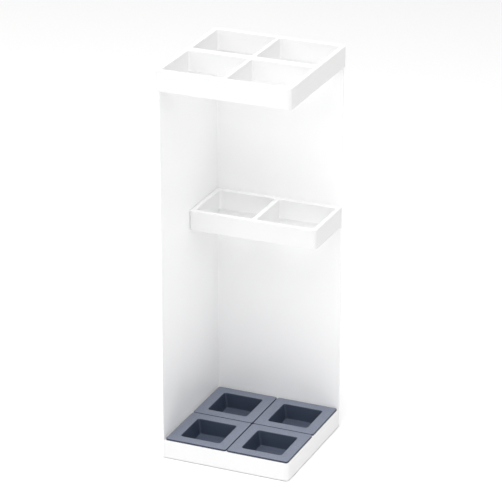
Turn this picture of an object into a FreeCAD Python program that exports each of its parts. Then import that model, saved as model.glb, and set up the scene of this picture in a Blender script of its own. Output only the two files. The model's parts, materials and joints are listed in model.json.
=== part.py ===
import FreeCAD, Part
import math
import os

import Sketcher

# Umbrella stand: a bent sheet-steel wall panel that carries a gridded top frame, a half-depth
# middle frame and a base tray, with four drip cups that lift out of the base.
#
# Frame: origin at the centre of the footprint on the floor, +X to the right, +Y to the back,
# +Z up.  The panel closes the left and the back.  The front and the right are open.

Vector = FreeCAD.Vector

# alias, size in millimetres (degrees where the note says so), note
SIZES = [
    ("height", 500.0, "floor to the top of the top frame"),
    ("side", 166.0, "outside of the wall panel, left to right and front to back"),
    ("gauge", 2.0, "wall panel's sheet thickness"),
    ("bend", 2.0, "inside radius of the wall panel's bend"),
    ("rise", 1.0, "gap that the feet leave under the panel and the base"),
    ("soft", 0.6, "rounding of the mouldings' top edges"),
    ("blunt", 0.4, "rounding of the mouldings' bottom edges"),
    ("nook", 3.0, "radius of the upright corners inside the cells"),
    ("corner", 5.0, "radius of the upright corner at the front right"),
    ("top_height", 26.0, "top frame's height"),
    ("overhang", 1.8, "top frame's reach past the panel on all four sides"),
    ("top_wall", 5.6, "top frame's outer walls"),
    ("top_rib", 4.8, "top frame's divider from front to back"),
    ("top_beam", 11.0, "top frame's divider from left to right"),
    ("top_corner", 3.0, "radius of the top frame's other three upright corners"),
    ("slot_depth", 14.0, "groove in the top frame that takes the panel's edge"),
    ("slot_play", 0.15, "play beside the panel's edge in the groove"),
    ("mid_top", 295.0, "floor to the top of the middle frame"),
    ("mid_height", 25.0, "middle frame's height"),
    ("mid_depth", 82.8, "middle frame, front to back"),
    ("mid_gap", 0.3, "gap between the middle frame and the panel's left wall"),
    ("mid_wall", 5.2, "middle frame's left and right walls"),
    ("mid_rim", 6.2, "middle frame's front and rear walls"),
    ("mid_rib", 6.0, "middle frame's divider"),
    ("base_height", 22.8, "base tray's height"),
    ("base_wall", 5.0, "base tray's outer walls"),
    ("base_rib", 6.0, "base tray's cross ribs"),
    ("base_rib_height", 10.0, "cross ribs' tops above the base tray's underside"),
    ("base_floor", 4.8, "base tray's floor, which the cups stand on"),
    ("boss_width", 9.0, "screw boss inside the base tray, along the wall"),
    ("boss_depth", 6.0, "screw boss, out from the wall"),
    ("cup_pitch", 80.8, "distance between the drip cups' centres"),
    ("cup_flange", 80.0, "drip cup's square flange"),
    ("cup_lip", 2.2, "flange thickness"),
    ("cup_round", 3.0, "flange's corner radius"),
    ("cup_mouth", 52.2, "pocket's square mouth"),
    ("cup_depth", 18.0, "pocket's depth below the flange's top"),
    ("cup_wall", 2.2, "pocket's wall and floor thickness"),
    ("cup_draft", 14.0, "pocket walls' slope, degrees from upright"),
    ("cup_nook", 3.2, "radius of the pocket's slanting corners, inside"),
    ("cup_cove", 1.6, "radius round the pocket's floor, inside"),
    ("cup_edge", 1.6, "rounding of the pocket's mouth"),
    ("cup_blunt", 0.9, "rounding of the flange's top edge"),
    ("foot_radius", 7.0, "anti-slip foot"),
    ("foot_height", 2.0, "anti-slip foot, of which the rise stands out"),
    ("foot_reach", 66.0, "feet from the base tray's centre, both ways"),
    ("shank", 1.3, "screw shank's radius"),
    ("shank_length", 12.0, "screw length under the head"),
    ("head", 2.5, "screw head's radius"),
    ("head_height", 1.3, "screw head's height"),
    ("head_dome", 0.78, "rounding of the screw head's rim"),
    ("head_slot", 0.7, "width of the cross recess in the screw head"),
    ("head_cross", 2.75, "length of the cross recess's arms, tip to tip"),
    ("head_web", 0.585, "metal under the cross recess, from the head's underside"),
    ("shank_bevel", 0.65, "bevel at the screw's tip"),
    ("core_play", 0.05, "play round a shank in a core hole"),
    ("hole_play", 0.3, "play round a shank or a head in a clearance hole"),
    ("base_screw_height", 12.0, "base screws above the floor"),
    ("base_screw_reach", 45.0, "base screws from the base tray's centre, along the wall"),
]

NEAR = 1e-3    # millimetres, two places closer than this are one
INSET = 1.0    # millimetres, an edge further in than this is not on a body's outside

doc = FreeCAD.newDocument("umbrella_stand")
sheet = doc.addObject("Spreadsheet::Sheet", "Sizes")
for row, (alias, value, note) in enumerate(SIZES, start=1):
    sheet.set(f"A{row}", alias)
    sheet.set(f"B{row}", str(value))
    sheet.setAlias(f"B{row}", alias)
    sheet.set(f"C{row}", note)
doc.recompute()

# Faces that several sub-parts share, as expressions of the sheet's cells.
HALF = "Sizes.side / 2"
PANEL_LEFT = "(-Sizes.side / 2 + Sizes.gauge)"   # the panel's inner faces
PANEL_BACK = "(Sizes.side / 2 - Sizes.gauge)"
INNER_X = "Sizes.gauge / 2"                      # centre of the area inside the panel
INNER_Y = "(-Sizes.gauge / 2)"
TOP_OUTER = "(Sizes.side / 2 + Sizes.overhang)"
TOP_SCREW = "Sizes.slot_depth / 2"               # above the top frame's underside
MID_LEFT = "(-Sizes.side / 2 + Sizes.gauge + Sizes.mid_gap)"
MID_FRONT = "(Sizes.side / 2 - Sizes.gauge - Sizes.mid_depth)"
MID_CENTRE = "((Sizes.gauge + Sizes.mid_gap) / 2)"
COLUMNS = (("left", -1), ("right", 1))
ROWS = (("front", -1), ("rear", 1))


def size(alias):
    """The sheet's value of one alias, in millimetres."""
    return float(getattr(sheet, alias))


def new_body(label, z="0 mm"):
    """A body at the given height above the floor."""
    body = doc.addObject("PartDesign::Body", label)
    body.Label = label
    body.setExpression("Placement.Base.z", z)
    return body


def sketch_on(body, name, role, offset=None):
    """A sketch on one of the body's origin planes, moved along the plane's normal."""
    sketch = body.newObject("Sketcher::SketchObject", name)
    plane = next(f for f in body.Origin.OriginFeatures if f.Role == role)
    sketch.AttachmentSupport = [(plane, "")]
    sketch.MapMode = "FlatFace"
    if offset:
        sketch.setExpression("AttachmentOffset.Base.z", offset)
    return sketch


def hold(sketch, kind, geometry, point, expression):
    """Holds one coordinate of a point of the sketch at an expression."""
    index = sketch.addConstraint(Sketcher.Constraint(kind, -1, 1, geometry, point, 1.0))
    sketch.setExpression(f"Constraints[{index}]", expression)


def rectangle(sketch, left, right, front, back):
    """A rectangle with its four sides at the given expressions."""
    first = sketch.GeometryCount
    corners = [Vector(-1, -1, 0), Vector(1, -1, 0), Vector(1, 1, 0), Vector(-1, 1, 0)]
    for start, end in zip(corners, corners[1:] + corners[:1]):
        sketch.addGeometry(Part.LineSegment(start, end), False)
    for i in range(4):
        joint = Sketcher.Constraint("Coincident", first + i, 2, first + (i + 1) % 4, 1)
        sketch.addConstraint(joint)
        direction = ("Horizontal", "Vertical")[i % 2]
        sketch.addConstraint(Sketcher.Constraint(direction, first + i))
    hold(sketch, "DistanceX", first, 1, left)
    hold(sketch, "DistanceX", first + 1, 1, right)
    hold(sketch, "DistanceY", first, 1, front)
    hold(sketch, "DistanceY", first + 2, 1, back)


def circle(sketch, across, along, radius):
    """A circle with its centre and radius at the given expressions."""
    index = sketch.addGeometry(Part.Circle(Vector(0, 0, 0), Vector(0, 0, 1), 1.0), False)
    hold(sketch, "DistanceX", index, 3, across)
    hold(sketch, "DistanceY", index, 3, along)
    held = sketch.addConstraint(Sketcher.Constraint("Radius", index, 1.0))
    sketch.setExpression(f"Constraints[{held}]", radius)


def pad(body, name, sketch, length):
    """Adds the sketch's outline to the body along Z."""
    feature = body.newObject("PartDesign::Pad", name)
    feature.Profile = sketch
    feature.setExpression("Length", length)
    doc.recompute()


def pocket(body, name, sketch, length=None, upward=False):
    """Cuts the sketch's outline out of the body, right through where no length is given."""
    before = body.Shape.Volume
    feature = body.newObject("PartDesign::Pocket", name)
    feature.Profile = sketch
    feature.Reversed = upward
    if length:
        feature.setExpression("Length", length)
    else:
        feature.Type = "ThroughAll"
    doc.recompute()
    if body.Shape.Volume > before - NEAR:
        raise RuntimeError(f"{body.Label}: {name} cuts nothing")


def tapered_block(body, name, kind, half_width, top, depth):
    """Adds or cuts an upright square block that narrows downwards by the cups' draft.
    The wedge lies on the XZ plane, so its own Y is up and its own Z is towards the front."""
    wedge = body.newObject(f"PartDesign::{kind}Wedge", name)
    plane = next(f for f in body.Origin.OriginFeatures if f.Role == "XZ_Plane")
    wedge.AttachmentSupport = [(plane, "")]
    wedge.MapMode = "FlatFace"
    foot = f"({half_width} - ({depth}) * tan(Sizes.cup_draft))"
    for across in ("X", "Z"):
        wedge.setExpression(f"{across}min", f"-{foot}")
        wedge.setExpression(f"{across}max", foot)
        wedge.setExpression(f"{across}2min", f"-{half_width}")
        wedge.setExpression(f"{across}2max", half_width)
    wedge.setExpression("Ymin", f"{top} - ({depth})")
    wedge.setExpression("Ymax", top)
    doc.recompute()


def drill(body, name, role, end, points, radius):
    """Round holes from a blind end outwards: towards -X from YZ_Plane, +Y from XZ_Plane."""
    sketch = sketch_on(body, name + "_outline", role, end)
    for across, up in points:
        circle(sketch, across, up, radius)
    pocket(body, name, sketch)


def edge_names(body, name, wanted):
    """Names of the body's edges for which wanted(edge) is true."""
    edges = enumerate(body.Tip.Shape.Edges, start=1)
    names = [f"Edge{i}" for i, edge in edges if wanted(edge)]
    if not names:
        raise RuntimeError(f"{body.Label}: {name} finds no edge")
    return names


def fillet(body, name, radius, wanted):
    """Rounds every edge of the body for which wanted(edge) is true."""
    picked = (body.Tip, edge_names(body, name, wanted))
    feature = body.newObject("PartDesign::Fillet", name)
    feature.Base = picked
    feature.setExpression("Radius", radius)
    doc.recompute()


def bevel(body, name, width, wanted):
    """Bevels every edge of the body for which wanted(edge) is true."""
    picked = (body.Tip, edge_names(body, name, wanted))
    feature = body.newObject("PartDesign::Chamfer", name)
    feature.Base = picked
    feature.setExpression("Size", width)
    doc.recompute()


def upright(edge):
    """True for a straight edge along Z."""
    box = edge.BoundBox
    return box.XLength < NEAR and box.YLength < NEAR and box.ZLength > NEAR


def upright_at(x, y):
    """Picks the upright edge at one corner."""
    def wanted(edge):
        box = edge.BoundBox
        return upright(edge) and math.hypot(box.XMin - x, box.YMin - y) < NEAR
    return wanted


def level_at(z):
    """Picks the edges that lie in one level plane."""
    def wanted(edge):
        box = edge.BoundBox
        return abs(box.ZMin - z) < NEAR and abs(box.ZMax - z) < NEAR
    return wanted


def free_rim_at(body, z):
    """Picks the edges in one level plane that do not run along the panel's two walls."""
    outer = body.Shape.BoundBox
    level = level_at(z)

    def wanted(edge):
        box = edge.BoundBox
        on_left = box.XMin < outer.XMin + INSET
        on_back = box.YMax > outer.YMax - INSET
        on_front = box.YMax < outer.YMin + INSET
        on_right = box.XMin > outer.XMax - INSET
        return level(edge) and (on_front or on_right or not (on_left or on_back))
    return wanted


def cells(body, name, columns, rows, top=None, depth=None):
    """Rectangular cells in a grid with round corners, sunk from a top or cut right through."""
    sketch = sketch_on(body, name + "_outline", "XY_Plane", top)
    for left, right in columns:
        for front, back in rows:
            rectangle(sketch, left, right, front, back)
    outer = body.Shape.BoundBox
    pocket(body, name, sketch, depth, upward=depth is None)

    def inside(edge):
        box = edge.BoundBox
        in_x = outer.XMin + INSET < box.XMin < outer.XMax - INSET
        in_y = outer.YMin + INSET < box.YMin < outer.YMax - INSET
        return upright(edge) and in_x and in_y
    fillet(body, name + "_corners", "Sizes.nook", inside)


def make_wall_panel():
    """The L-shaped sheet: left wall, bend and back wall in one piece, with its screw holes."""
    body = new_body("wall_panel", "Sizes.rise")
    block = sketch_on(body, "block_outline", "XY_Plane")
    rectangle(block, f"-{HALF}", HALF, f"-{HALF}", HALF)
    reach = "Sizes.height - Sizes.top_height + Sizes.slot_depth - Sizes.rise - Sizes.slot_play"
    pad(body, "block", block, reach)
    hollow = sketch_on(body, "hollow_outline", "XY_Plane")
    rectangle(hollow, PANEL_LEFT, "Sizes.side", "-Sizes.side", PANEL_BACK)
    pocket(body, "hollow", hollow, upward=True)
    outer = size("side") / 2
    inner = outer - size("gauge")
    fillet(body, "outer_bend", "Sizes.bend + Sizes.gauge", upright_at(-outer, outer))
    fillet(body, "inner_bend", "Sizes.bend", upright_at(-inner, inner))
    clearance = "Sizes.shank + Sizes.hole_play"
    low = "Sizes.base_screw_height - Sizes.rise"
    high = f"Sizes.height - Sizes.top_height + {TOP_SCREW} - Sizes.rise"
    middle = "Sizes.mid_top - Sizes.mid_height / 2 - Sizes.rise"
    left = [(f"{INNER_Y} + {s} * Sizes.base_screw_reach", low) for _, s in COLUMNS]
    left.append(("0", high))
    drill(body, "left_holes", "YZ_Plane", None, left, clearance)
    back = [(f"{INNER_X} + {s} * Sizes.base_screw_reach", low) for _, s in COLUMNS]
    back += [(x, middle) for x in mid_screw_columns()]
    back.append(("0", high))
    drill(body, "back_holes", "XZ_Plane", None, back, clearance)
    return body


def mid_screw_columns():
    """Centres of the middle frame's left wall, divider and right wall."""
    half_wall = "Sizes.mid_wall / 2"
    return (f"{MID_LEFT} + {half_wall}", MID_CENTRE, f"{HALF} - {half_wall}")


def make_top_frame():
    """The grid of four open cells that caps the panel, with a groove for the panel's edge."""
    body = new_body("top_frame", "Sizes.height - Sizes.top_height")
    block = sketch_on(body, "block_outline", "XY_Plane")
    rectangle(block, f"-{TOP_OUTER}", TOP_OUTER, f"-{TOP_OUTER}", TOP_OUTER)
    pad(body, "block", block, "Sizes.top_height")
    outer = size("side") / 2 + size("overhang")
    fillet(body, "front_right_corner", "Sizes.corner", upright_at(outer, -outer))
    small = (("front_left", -outer, -outer), ("rear_left", -outer, outer),
             ("rear_right", outer, outer))
    for name, x, y in small:
        fillet(body, f"{name}_corner", "Sizes.top_corner", upright_at(x, y))
    wall = f"({TOP_OUTER} - Sizes.top_wall)"
    columns = ((f"-{wall}", "-Sizes.top_rib / 2"), ("Sizes.top_rib / 2", wall))
    rows = ((f"-{wall}", "-Sizes.top_beam / 2"), ("Sizes.top_beam / 2", wall))
    cells(body, "cells", columns, rows)
    fillet(body, "top_edges", "Sizes.soft", level_at(size("top_height")))
    fillet(body, "bottom_edges", "Sizes.blunt", level_at(0))
    far = f"({HALF} + Sizes.slot_play)"
    near = f"({HALF} - Sizes.gauge - Sizes.slot_play)"
    left_slot = sketch_on(body, "left_slot_outline", "XY_Plane")
    rectangle(left_slot, f"-{far}", f"-{near}", f"-{far}", far)
    pocket(body, "left_slot", left_slot, "Sizes.slot_depth", upward=True)
    back_slot = sketch_on(body, "back_slot_outline", "XY_Plane")
    rectangle(back_slot, f"-{far}", far, near, far)
    pocket(body, "back_slot", back_slot, "Sizes.slot_depth", upward=True)
    skin = size("side") / 2 - size("gauge") - size("slot_play")
    fillet(body, "slot_bend", "Sizes.bend + 2 * Sizes.slot_play", upright_at(-skin, skin))
    spot = [("0", TOP_SCREW)]
    core = "Sizes.shank + Sizes.core_play"
    recess = "Sizes.head + Sizes.hole_play"
    depth = f"{HALF} - Sizes.shank_length - Sizes.core_play"
    for name, role in (("left", "YZ_Plane"), ("back", "XZ_Plane")):
        drill(body, f"{name}_core_hole", role, f"-({depth})", spot, core)
        drill(body, f"{name}_head_recess", role, f"-{HALF}", spot, recess)
    return body


def make_middle_frame():
    """The two-cell frame across the rear half, screwed to the panel's back wall."""
    body = new_body("middle_frame", "Sizes.mid_top - Sizes.mid_height")
    block = sketch_on(body, "block_outline", "XY_Plane")
    rectangle(block, MID_LEFT, HALF, MID_FRONT, PANEL_BACK)
    pad(body, "block", block, "Sizes.mid_height")
    round_nested_corners(body)
    wall = "Sizes.mid_wall"
    rib = "Sizes.mid_rib / 2"
    columns = ((f"{MID_LEFT} + {wall}", f"{MID_CENTRE} - {rib}"),
               (f"{MID_CENTRE} + {rib}", f"{HALF} - {wall}"))
    rows = ((f"{MID_FRONT} + Sizes.mid_rim", f"{PANEL_BACK} - Sizes.mid_rim"),)
    cells(body, "cells", columns, rows)
    fillet(body, "top_edges", "Sizes.soft", free_rim_at(body, size("mid_height")))
    fillet(body, "bottom_edges", "Sizes.blunt", level_at(0))
    end = f"-({HALF} - Sizes.shank_length - Sizes.core_play)"
    points = [(x, "Sizes.mid_height / 2") for x in mid_screw_columns()]
    drill(body, "core_holes", "XZ_Plane", end, points, "Sizes.shank + Sizes.core_play")
    return body


def round_nested_corners(body):
    """Upright corners of a frame inside the panel: full at the front right, clear of the bend
    at the rear left, and bevelled where it meets the panel's free edges."""
    box = body.Shape.BoundBox
    fillet(body, "front_right_corner", "Sizes.corner", upright_at(box.XMax, box.YMin))
    bend = "Sizes.bend + 2 * Sizes.slot_play"
    fillet(body, "rear_left_corner", bend, upright_at(box.XMin, box.YMax))
    bevel(body, "front_left_corner", "Sizes.soft", upright_at(box.XMin, box.YMin))
    bevel(body, "rear_right_corner", "Sizes.soft", upright_at(box.XMax, box.YMax))


def make_base_tray():
    """The base: four compartments between low ribs, which take the drip cups, with screw
    bosses inside the left and back walls and recesses for the feet underneath."""
    body = new_body("base_tray", "Sizes.rise")
    block = sketch_on(body, "block_outline", "XY_Plane")
    rectangle(block, PANEL_LEFT, HALF, f"-{HALF}", PANEL_BACK)
    pad(body, "block", block, "Sizes.base_height")
    round_nested_corners(body)
    wall = "Sizes.base_wall"
    rib = "Sizes.base_rib / 2"
    columns = ((f"{PANEL_LEFT} + {wall}", f"{INNER_X} - {rib}"),
               (f"{INNER_X} + {rib}", f"{HALF} - {wall}"))
    rows = ((f"-{HALF} + {wall}", f"{INNER_Y} - {rib}"),
            (f"{INNER_Y} + {rib}", f"{PANEL_BACK} - {wall}"))
    depth = "Sizes.base_height - Sizes.base_floor"
    cells(body, "compartments", columns, rows, "Sizes.base_height", depth)
    lower_ribs(body)
    fillet(body, "top_edges", "Sizes.blunt", level_at(size("base_height")))
    fillet(body, "bottom_edges", "Sizes.blunt", level_at(0))
    add_bosses(body)
    recesses = sketch_on(body, "foot_recess_outline", "XY_Plane")
    for x, y in foot_spots():
        circle(recesses, x, y, "Sizes.foot_radius + Sizes.slot_play")
    pocket(body, "foot_recesses", recesses, "Sizes.foot_height - Sizes.rise", upward=True)
    core = "Sizes.shank + Sizes.core_play"
    end = f"-({HALF} - Sizes.shank_length - Sizes.core_play)"
    up = "Sizes.base_screw_height - Sizes.rise"
    left = [(f"{INNER_Y} + {s} * Sizes.base_screw_reach", up) for _, s in COLUMNS]
    back = [(f"{INNER_X} + {s} * Sizes.base_screw_reach", up) for _, s in COLUMNS]
    drill(body, "left_core_holes", "YZ_Plane", end, left, core)
    drill(body, "back_core_holes", "XZ_Plane", end, back, core)
    return body


def lower_ribs(body):
    """Cut the cross ribs down, with the rounding at their ends."""
    half = "(Sizes.base_rib / 2 + Sizes.nook)"
    inset = "Sizes.base_wall"
    spans = (("rib_along", f"{INNER_X} - {half}", f"{INNER_X} + {half}",
              f"-{HALF} + {inset}", f"{PANEL_BACK} - {inset}"),
             ("rib_across", f"{PANEL_LEFT} + {inset}", f"{HALF} - {inset}",
              f"{INNER_Y} - {half}", f"{INNER_Y} + {half}"))
    for name, left, right, front, back in spans:
        strip = sketch_on(body, f"{name}_outline", "XY_Plane", "Sizes.base_height")
        rectangle(strip, left, right, front, back)
        pocket(body, f"{name}_relief", strip, "Sizes.base_height - Sizes.base_rib_height")


def add_bosses(body):
    """Blocks on the base's floor, against the left and back walls, round the core holes."""
    bosses = sketch_on(body, "boss_outline", "XY_Plane", "Sizes.base_floor / 2")
    half = "Sizes.boss_width / 2"
    inward = "(Sizes.base_wall + Sizes.boss_depth)"
    for _, sign in COLUMNS:
        middle = f"{sign} * Sizes.base_screw_reach"
        rectangle(bosses, f"{PANEL_LEFT} + Sizes.base_wall / 2", f"{PANEL_LEFT} + {inward}",
                  f"{INNER_Y} + {middle} - {half}", f"{INNER_Y} + {middle} + {half}")
        rectangle(bosses, f"{INNER_X} + {middle} - {half}", f"{INNER_X} + {middle} + {half}",
                  f"{PANEL_BACK} - {inward}", f"{PANEL_BACK} - Sizes.base_wall / 2")
    top = "Sizes.base_screw_height - Sizes.rise + Sizes.boss_width / 2"
    pad(body, "bosses", bosses, f"{top} - Sizes.base_floor / 2")


def foot_spots():
    """Centres of the four feet, as expressions."""
    return [(f"{INNER_X} + {sx} * Sizes.foot_reach", f"{INNER_Y} + {sy} * Sizes.foot_reach")
            for _, sy in ROWS for _, sx in COLUMNS]


def make_foot(label, x, y):
    """One round anti-slip foot, part sunk into the base's underside."""
    body = new_body(label)
    body.setExpression("Placement.Base.x", x)
    body.setExpression("Placement.Base.y", y)
    outline = sketch_on(body, "outline", "XY_Plane")
    circle(outline, "0", "0", "Sizes.foot_radius")
    pad(body, "disc", outline, "Sizes.foot_height")
    fillet(body, "rim", "Sizes.blunt", level_at(0))
    return body


def make_drip_cup(label, column, row):
    """One soft drip cup: a square flange on the base's rim and a tapered pocket below it.
    Its own origin is the middle of the flange's underside."""
    body = new_body(label, "Sizes.rise + Sizes.base_height")
    body.setExpression("Placement.Base.x", f"{INNER_X} + {column} * Sizes.cup_pitch / 2")
    body.setExpression("Placement.Base.y", f"{INNER_Y} + {row} * Sizes.cup_pitch / 2")
    flange = sketch_on(body, "flange_outline", "XY_Plane")
    edge = "Sizes.cup_flange / 2"
    rectangle(flange, f"-{edge}", edge, f"-{edge}", edge)
    pad(body, "flange", flange, "Sizes.cup_lip")
    fillet(body, "flange_corners", "Sizes.cup_round", upright)
    hang = "Sizes.cup_depth + Sizes.cup_wall - Sizes.cup_lip"
    out = "(Sizes.cup_mouth / 2 + Sizes.cup_wall)"
    tapered_block(body, "shell", "Additive", out, "0", hang)
    low = size("cup_lip") - size("cup_depth") - size("cup_wall")
    fillet(body, "shell_corners", "Sizes.cup_nook + Sizes.cup_wall", slanting)
    fillet(body, "shell_floor", "Sizes.cup_cove + Sizes.cup_wall", level_at(low))
    lip = "(Sizes.cup_mouth / 2)"
    tapered_block(body, "hollow", "Subtractive", lip, "Sizes.cup_lip", "Sizes.cup_depth")
    floor = size("cup_lip") - size("cup_depth")
    inside = size("cup_mouth") / 2 + NEAR
    fillet(body, "hollow_corners", "Sizes.cup_nook",
           lambda e: slanting(e) and straight(e) and within(e, inside))
    fillet(body, "hollow_floor", "Sizes.cup_cove", level_at(floor))
    top = level_at(size("cup_lip"))
    fillet(body, "mouth_edge", "Sizes.cup_edge", lambda e: top(e) and within(e, inside))
    fillet(body, "flange_edge", "Sizes.cup_blunt",
           lambda e: top(e) and not within(e, inside + size("cup_wall")))
    return body


def straight(edge):
    """True for a straight edge."""
    return isinstance(edge.Curve, Part.Line)


def slanting(edge):
    """True for an edge that leans across X, Y and Z, as a tapered pocket's corners do."""
    box = edge.BoundBox
    return min(box.XLength, box.YLength, box.ZLength) > NEAR


def within(edge, reach):
    """True for an edge inside the upright square of the given half width."""
    box = edge.BoundBox
    return max(-box.XMin, box.XMax, -box.YMin, box.YMax) < reach


def pan_head_screw():
    """One self-tapping screw along Z: the shank below zero, the domed head above it."""
    length = size("shank_length")
    shank = Part.makeCylinder(size("shank"), length, Vector(0, 0, -length))
    tip = [e for e in shank.Edges if e.BoundBox.ZMax < -length / 2]
    shank = shank.makeChamfer(size("shank_bevel"), tip)
    head = Part.makeCylinder(size("head"), size("head_height"))
    rim = [e for e in head.Edges if e.BoundBox.ZMin > size("head_height") / 2]
    head = head.makeFillet(size("head_dome"), rim)
    arms = (size("head_cross"), size("head_slot"))
    for along, across in (arms, arms[::-1]):
        corner = Vector(-along / 2, -across / 2, size("head_web"))
        head = head.cut(Part.makeBox(along, across, size("head_height"), corner))
    return shank.fuse(head).removeSplitter()


def make_screws(label, places):
    """A group of equal screws.  Each place is a point on the panel's outer face and the
    outward direction there."""
    screw = pan_head_screw()
    copies = []
    for point, outward in places:
        turn = FreeCAD.Rotation(Vector(0, 0, 1), Vector(*outward))
        copies.append(screw.transformed(FreeCAD.Placement(Vector(*point), turn).toMatrix()))
    group = doc.addObject("Part::Feature", label)
    group.Label = label
    group.Shape = Part.makeCompound(copies)
    group.Placement = FreeCAD.Placement()
    return group


def make_screw_groups():
    """The screws of the base, the middle frame and the top frame."""
    face = size("side") / 2
    left, back = (-1, 0, 0), (0, 1, 0)
    shift = size("gauge") / 2
    base = []
    for _, sign in COLUMNS:
        along = sign * size("base_screw_reach")
        base.append(((-face, along - shift, size("base_screw_height")), left))
        base.append(((along + shift, face, size("base_screw_height")), back))
    half_wall = size("mid_wall") / 2
    mid_left = -face + size("gauge") + size("mid_gap")
    mid_z = size("mid_top") - size("mid_height") / 2
    columns = (mid_left + half_wall, (mid_left + face) / 2, face - half_wall)
    middle = [((x, face, mid_z), back) for x in columns]
    top_z = size("height") - size("top_height") + size("slot_depth") / 2
    top = [((-face, 0, top_z), left), ((0, face, top_z), back)]
    return [make_screws("base_screws", base),
            make_screws("middle_frame_screws", middle),
            make_screws("top_frame_screws", top)]


def make_parts():
    """Every sub-part of the stand."""
    parts = [make_wall_panel(), make_top_frame(), make_middle_frame(), make_base_tray()]
    parts += make_screw_groups()
    corners = [(row, column) for row in ROWS for column in COLUMNS]
    for ((row, sy), (column, sx)), (x, y) in zip(corners, foot_spots()):
        parts.append(make_foot(f"foot_{row}_{column}", x, y))
        parts.append(make_drip_cup(f"drip_cup_{row}_{column}", sx, sy))
    return parts


def check(parts):
    """Stops on a failed object, and on a sub-part whose shape is missing or not valid."""
    for item in doc.Objects:
        if "Invalid" in item.State or "Error" in item.State:
            raise RuntimeError(f"{item.Label} failed: {item.State}")
    for part in parts:
        if part.Shape.isNull() or not part.Shape.isValid():
            raise RuntimeError(f"{part.Label} has no valid shape")


def main():
    parts = make_parts()
    doc.recompute()
    check(parts)
    os.makedirs("parts", exist_ok=True)
    for part in parts:
        part.Shape.exportStep(f"parts/{part.Label}.step")
        solids = len(part.Shape.Solids)
        print(f"{part.Label:24s} {solids} solid(s) {part.Shape.Volume / 1000:9.2f} cm3")


main()
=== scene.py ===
import json
import math

import bpy
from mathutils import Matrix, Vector


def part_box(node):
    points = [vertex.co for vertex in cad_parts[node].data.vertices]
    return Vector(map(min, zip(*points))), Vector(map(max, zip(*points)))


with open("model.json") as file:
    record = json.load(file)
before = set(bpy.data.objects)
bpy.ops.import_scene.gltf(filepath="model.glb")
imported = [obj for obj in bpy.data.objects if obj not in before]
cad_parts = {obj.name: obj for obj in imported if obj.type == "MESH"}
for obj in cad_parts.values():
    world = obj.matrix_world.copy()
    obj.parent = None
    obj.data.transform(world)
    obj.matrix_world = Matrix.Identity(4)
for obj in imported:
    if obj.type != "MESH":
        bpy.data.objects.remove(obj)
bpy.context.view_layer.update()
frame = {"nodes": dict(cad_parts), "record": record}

SENSOR = 36.0
LENS = 206.7
CAMERA_PLACE = Vector((1.2667, -2.9266, 1.5924))
CAMERA_AZIMUTH = math.radians(23.424)
CAMERA_ELEVATION = math.radians(22.752)

WHITE_COAT = (0.935, 0.935, 0.935)
WHITE_PLASTIC = (0.83, 0.83, 0.83)
# The cups' slate as lit and shaded copies of one colour: a painted sheen on level flange tops, painted
# shade on pocket floors, darker painted shade on steep faces.
SLATE_PAINTED_FLANGE_SHEEN = (0.185, 0.206, 0.266)
SLATE_PAINTED_POCKET_SHADE = (0.075, 0.090, 0.130)
SLATE_PAINTED_STEEP_SHADE = (0.032, 0.044, 0.074)
STEEL = (0.62, 0.62, 0.64)
BLACK_RUBBER = (0.030, 0.030, 0.033)
FLOOR_WHITE = (0.98, 0.98, 0.98)

# Where on a noise pattern, 0 to 1, a tone is at its darkest and at its lightest.
DARK_AT = 0.3
LIGHT_AT = 0.7
# The normal's upward part at which a face counts as steep, and as level; it splits the cups' painted
# shade from their painted sheen.
STEEP_BELOW = 0.70
LEVEL_ABOVE = 0.97

FLOOR_HALF = 8.0

SKY = 0.575
LIGHT_SIZE = 2.0
LIGHT_DISTANCE = 3.4
LIGHT_AIM = Vector((0.0, 0.0, 0.25))
# name, azimuth and elevation in degrees, power in watts
LIGHTS = (
    ("front_left", -35.0, 35.0, 12.0),
    ("front_high", 20.0, 55.0, 38.0),
    ("high_left", -55.0, 50.0, 4.0),
    ("left", -80.0, 30.0, 12.0),
    ("right", 90.0, 20.0, 9.0),
    ("front_low", -20.0, 15.0, 4.0),
    ("top", 0.0, 89.0, 42.0),
)


def scaled(colour, factor):
    """The colour made lighter or darker, with an opaque alpha."""
    return tuple(channel * factor for channel in colour) + (1.0,)


def new_material(name):
    """A node material, its node tree, its surface shader and its object coordinates."""
    material = bpy.data.materials.new(name)
    material.use_nodes = True
    tree = material.node_tree
    shader = tree.nodes["Principled BSDF"]
    place = tree.nodes.new("ShaderNodeTexCoord")
    return material, tree, shader, place.outputs["Object"]


def noise(tree, place, per_metre, detail, stretch=(1.0, 1.0, 1.0)):
    """A noise pattern with so many waves in a metre, stretched along an axis if asked."""
    mapping = tree.nodes.new("ShaderNodeMapping")
    mapping.inputs["Scale"].default_value = stretch
    pattern = tree.nodes.new("ShaderNodeTexNoise")
    pattern.inputs["Scale"].default_value = per_metre
    pattern.inputs["Detail"].default_value = detail
    tree.links.new(place, mapping.inputs["Vector"])
    tree.links.new(mapping.outputs["Vector"], pattern.inputs["Vector"])
    return pattern.outputs["Fac"]


def tone_ramp(tree, pattern, tone, darkest, lightest):
    """The tone, made darker and lighter by these factors with the pattern."""
    ramp = tree.nodes.new("ShaderNodeValToRGB")
    ends = ramp.color_ramp.elements
    ends[0].position = DARK_AT
    ends[0].color = scaled(tone, darkest)
    ends[1].position = LIGHT_AT
    ends[1].color = scaled(tone, lightest)
    tree.links.new(pattern, ramp.inputs["Fac"])
    return ramp.outputs["Color"]


def tint(tree, shader, pattern, tone, darkest, lightest):
    """Give the shader the tone, varied with the pattern."""
    colour = tone_ramp(tree, pattern, tone, darkest, lightest)
    tree.links.new(colour, shader.inputs["Base Color"])


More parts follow.
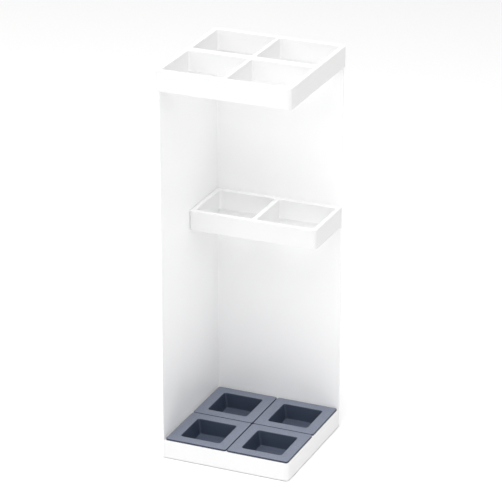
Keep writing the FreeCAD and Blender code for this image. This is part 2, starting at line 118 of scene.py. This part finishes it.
def mask(tree, vector, low, high):
    """0 where the vector's Z is below one value and 1 above another, smooth between them."""
    axes = tree.nodes.new("ShaderNodeSeparateXYZ")
    step = tree.nodes.new("ShaderNodeMapRange")
    step.interpolation_type = "SMOOTHSTEP"
    step.inputs["From Min"].default_value = low
    step.inputs["From Max"].default_value = high
    tree.links.new(vector, axes.inputs["Vector"])
    tree.links.new(axes.outputs["Z"], step.inputs["Value"])
    return step.outputs["Result"]


def blend(tree, share, below, above):
    """One colour where the share is 0 and the other where it is 1."""
    mix = tree.nodes.new("ShaderNodeMix")
    mix.data_type = "RGBA"
    sockets = [socket for socket in mix.inputs if socket.enabled and socket.type == "RGBA"]
    tree.links.new(share, mix.inputs["Factor"])
    tree.links.new(below, sockets[0])
    tree.links.new(above, sockets[1])
    return next(socket for socket in mix.outputs if socket.enabled)


def gloss(tree, shader, pattern, smooth, rough):
    """Vary the shader's roughness between two values with the pattern."""
    spread = tree.nodes.new("ShaderNodeMapRange")
    spread.inputs["To Min"].default_value = smooth
    spread.inputs["To Max"].default_value = rough
    tree.links.new(pattern, spread.inputs["Value"])
    tree.links.new(spread.outputs["Result"], shader.inputs["Roughness"])


def relief(tree, shader, patterns, strength):
    """Bump the surface with one or more patterns, each with its height in metres."""
    normal = None
    for pattern, height in patterns:
        bump = tree.nodes.new("ShaderNodeBump")
        bump.inputs["Strength"].default_value = strength
        bump.inputs["Distance"].default_value = height
        tree.links.new(pattern, bump.inputs["Height"])
        if normal is not None:
            tree.links.new(normal, bump.inputs["Normal"])
        normal = bump.outputs["Normal"]
    tree.links.new(normal, shader.inputs["Normal"])


def powder_coat():
    """Satin white powder coat: orange peel, fine grain and faint cloudiness."""
    material, tree, shader, place = new_material("powder_coat")
    clouds = noise(tree, place, per_metre=9.0, detail=2.0)
    peel = noise(tree, place, per_metre=420.0, detail=1.0)
    grain = noise(tree, place, per_metre=1900.0, detail=2.0)
    peel_height = 0.00005
    grain_height = 0.00002
    tint(tree, shader, clouds, WHITE_COAT, darkest=0.990, lightest=1.006)
    gloss(tree, shader, peel, smooth=0.30, rough=0.40)
    relief(tree, shader, ((peel, peel_height), (grain, grain_height)), strength=0.4)
    shader.inputs["Specular IOR Level"].default_value = 0.5
    return material


def moulded_plastic():
    """Matte white moulded plastic with an etched grain."""
    material, tree, shader, place = new_material("moulded_plastic")
    clouds = noise(tree, place, per_metre=14.0, detail=2.0)
    etch = noise(tree, place, per_metre=1500.0, detail=3.0)
    etch_height = 0.00005
    tint(tree, shader, clouds, WHITE_PLASTIC, darkest=0.992, lightest=1.006)
    gloss(tree, shader, etch, smooth=0.50, rough=0.66)
    relief(tree, shader, ((etch, etch_height),), strength=0.5)
    shader.inputs["Specular IOR Level"].default_value = 0.35
    return material


def slate_elastomer():
    """Slate blue-grey elastomer as lit and shaded copies of one slate: a pale painted sheen on the
    level flange, darker painted shade on steep faces, and dark painted shade on the pocket floors."""
    material, tree, shader, place = new_material("slate_elastomer")
    speckle = noise(tree, place, per_metre=1100.0, detail=3.0)
    swirl = noise(tree, place, per_metre=60.0, detail=2.0)
    speckle_height = 0.00006
    # Painted light: the face tone is a painted sheen, the floor and steep tones are painted shade, all
    # copies of one slate.
    face = tone_ramp(tree, speckle, SLATE_PAINTED_FLANGE_SHEEN, darkest=0.84, lightest=1.16)
    floor = tone_ramp(tree, speckle, SLATE_PAINTED_POCKET_SHADE, darkest=0.90, lightest=1.10)
    steep = tone_ramp(tree, speckle, SLATE_PAINTED_STEEP_SHADE, darkest=0.90, lightest=1.10)
    lowest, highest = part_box("drip_cup_front_left")
    # Painted shade by height and by slope: the pocket floors and the steep faces get the darker
    # copies.
    height_shade_mask = mask(tree, place, (lowest.z + highest.z) / 2, highest.z)
    normal = tree.nodes.new("ShaderNodeTexCoord").outputs["Normal"]
    slope_shade_mask = mask(tree, normal, STEEP_BELOW, LEVEL_ABOVE)
    colour = blend(tree, slope_shade_mask, steep, blend(tree, height_shade_mask, floor, face))
    tree.links.new(colour, shader.inputs["Base Color"])
    gloss(tree, shader, swirl, smooth=0.42, rough=0.50)
    relief(tree, shader, ((speckle, speckle_height),), strength=0.4)
    shader.inputs["Specular IOR Level"].default_value = 0.35
    return material


def plated_steel():
    """Bright zinc-plated steel with fine turning marks."""
    material, tree, shader, place = new_material("plated_steel")
    marks = noise(tree, place, per_metre=900.0, detail=2.0, stretch=(1.0, 1.0, 6.0))
    marks_height = 0.00002
    tint(tree, shader, marks, STEEL, darkest=0.9, lightest=1.1)
    gloss(tree, shader, marks, smooth=0.22, rough=0.38)
    relief(tree, shader, ((marks, marks_height),), strength=0.4)
    shader.inputs["Metallic"].default_value = 1.0
    return material


def foot_rubber():
    """Matte black rubber with a coarse grain."""
    material, tree, shader, place = new_material("foot_rubber")
    grain = noise(tree, place, per_metre=800.0, detail=3.0)
    grain_height = 0.00015
    tint(tree, shader, grain, BLACK_RUBBER, darkest=0.8, lightest=1.3)
    gloss(tree, shader, grain, smooth=0.7, rough=0.9)
    relief(tree, shader, ((grain, grain_height),), strength=0.6)
    return material


def floor_paper():
    """White studio paper."""
    material, tree, shader, place = new_material("floor_paper")
    fibre = noise(tree, place, per_metre=300.0, detail=3.0)
    tint(tree, shader, fibre, FLOOR_WHITE, darkest=0.995, lightest=1.0)
    gloss(tree, shader, fibre, smooth=0.85, rough=0.95)
    shader.inputs["Specular IOR Level"].default_value = 0.1
    return material


def dress(materials):
    """Give each CAD node the material of its slot in the record."""
    for part in frame["record"]["subparts"]:
        piece = frame["nodes"][part["node"]]
        for index in range(len(piece.material_slots)):
            piece.material_slots[index].material = materials[part["material_slot"]]
        if not piece.material_slots:
            piece.data.materials.append(materials[part["material_slot"]])


def make_floor(material):
    """A flat studio floor, wide enough to fill any view."""
    signs = ((-1, -1), (1, -1), (1, 1), (-1, 1))
    corners = [(x * FLOOR_HALF, y * FLOOR_HALF, 0.0) for x, y in signs]
    mesh = bpy.data.meshes.new("floor")
    mesh.from_pydata(corners, [], [(0, 1, 2, 3)])
    floor = bpy.data.objects.new("floor", mesh)
    bpy.context.scene.collection.objects.link(floor)
    floor.data.materials.append(material)


def make_sky():
    """Even white light from all around."""
    world = bpy.data.worlds.new("studio")
    world.use_nodes = True
    background = world.node_tree.nodes["Background"]
    background.inputs["Color"].default_value = (1.0, 1.0, 1.0, 1.0)
    background.inputs["Strength"].default_value = SKY
    bpy.context.scene.world = world


def make_light(name, azimuth, elevation, power):
    """A square soft light that faces the stand. Azimuth 0 is in front of it, 90 to its right."""
    around = math.radians(azimuth)
    up = math.radians(elevation)
    towards = Vector((math.sin(around) * math.cos(up), -math.cos(around) * math.cos(up), math.sin(up)))
    light = bpy.data.lights.new(name, "AREA")
    light.shape = "SQUARE"
    light.size = LIGHT_SIZE
    light.energy = power
    lamp = bpy.data.objects.new(name, light)
    bpy.context.scene.collection.objects.link(lamp)
    lamp.location = LIGHT_AIM + towards * LIGHT_DISTANCE
    lamp.rotation_euler = (-towards).to_track_quat("-Z", "Y").to_euler()


def make_camera():
    """The camera, level, at the fitted place and angle."""
    lens = bpy.data.cameras.new("camera")
    lens.sensor_width = SENSOR
    lens.lens = LENS
    camera = bpy.data.objects.new("camera", lens)
    bpy.context.scene.collection.objects.link(camera)
    camera.location = CAMERA_PLACE
    camera.rotation_euler = (math.pi / 2 - CAMERA_ELEVATION, 0.0, CAMERA_AZIMUTH)
    bpy.context.scene.camera = camera


def make_scene():
    """Materials, floor, lights and camera."""
    dress({
        "panel": powder_coat(),
        "frame": moulded_plastic(),
        "cup": slate_elastomer(),
        "screw": plated_steel(),
        "foot": foot_rubber(),
    })
    make_floor(floor_paper())
    make_sky()
    for light in LIGHTS:
        make_light(*light)
    make_camera()
    bpy.context.scene.view_settings.view_transform = "Standard"


make_scene()
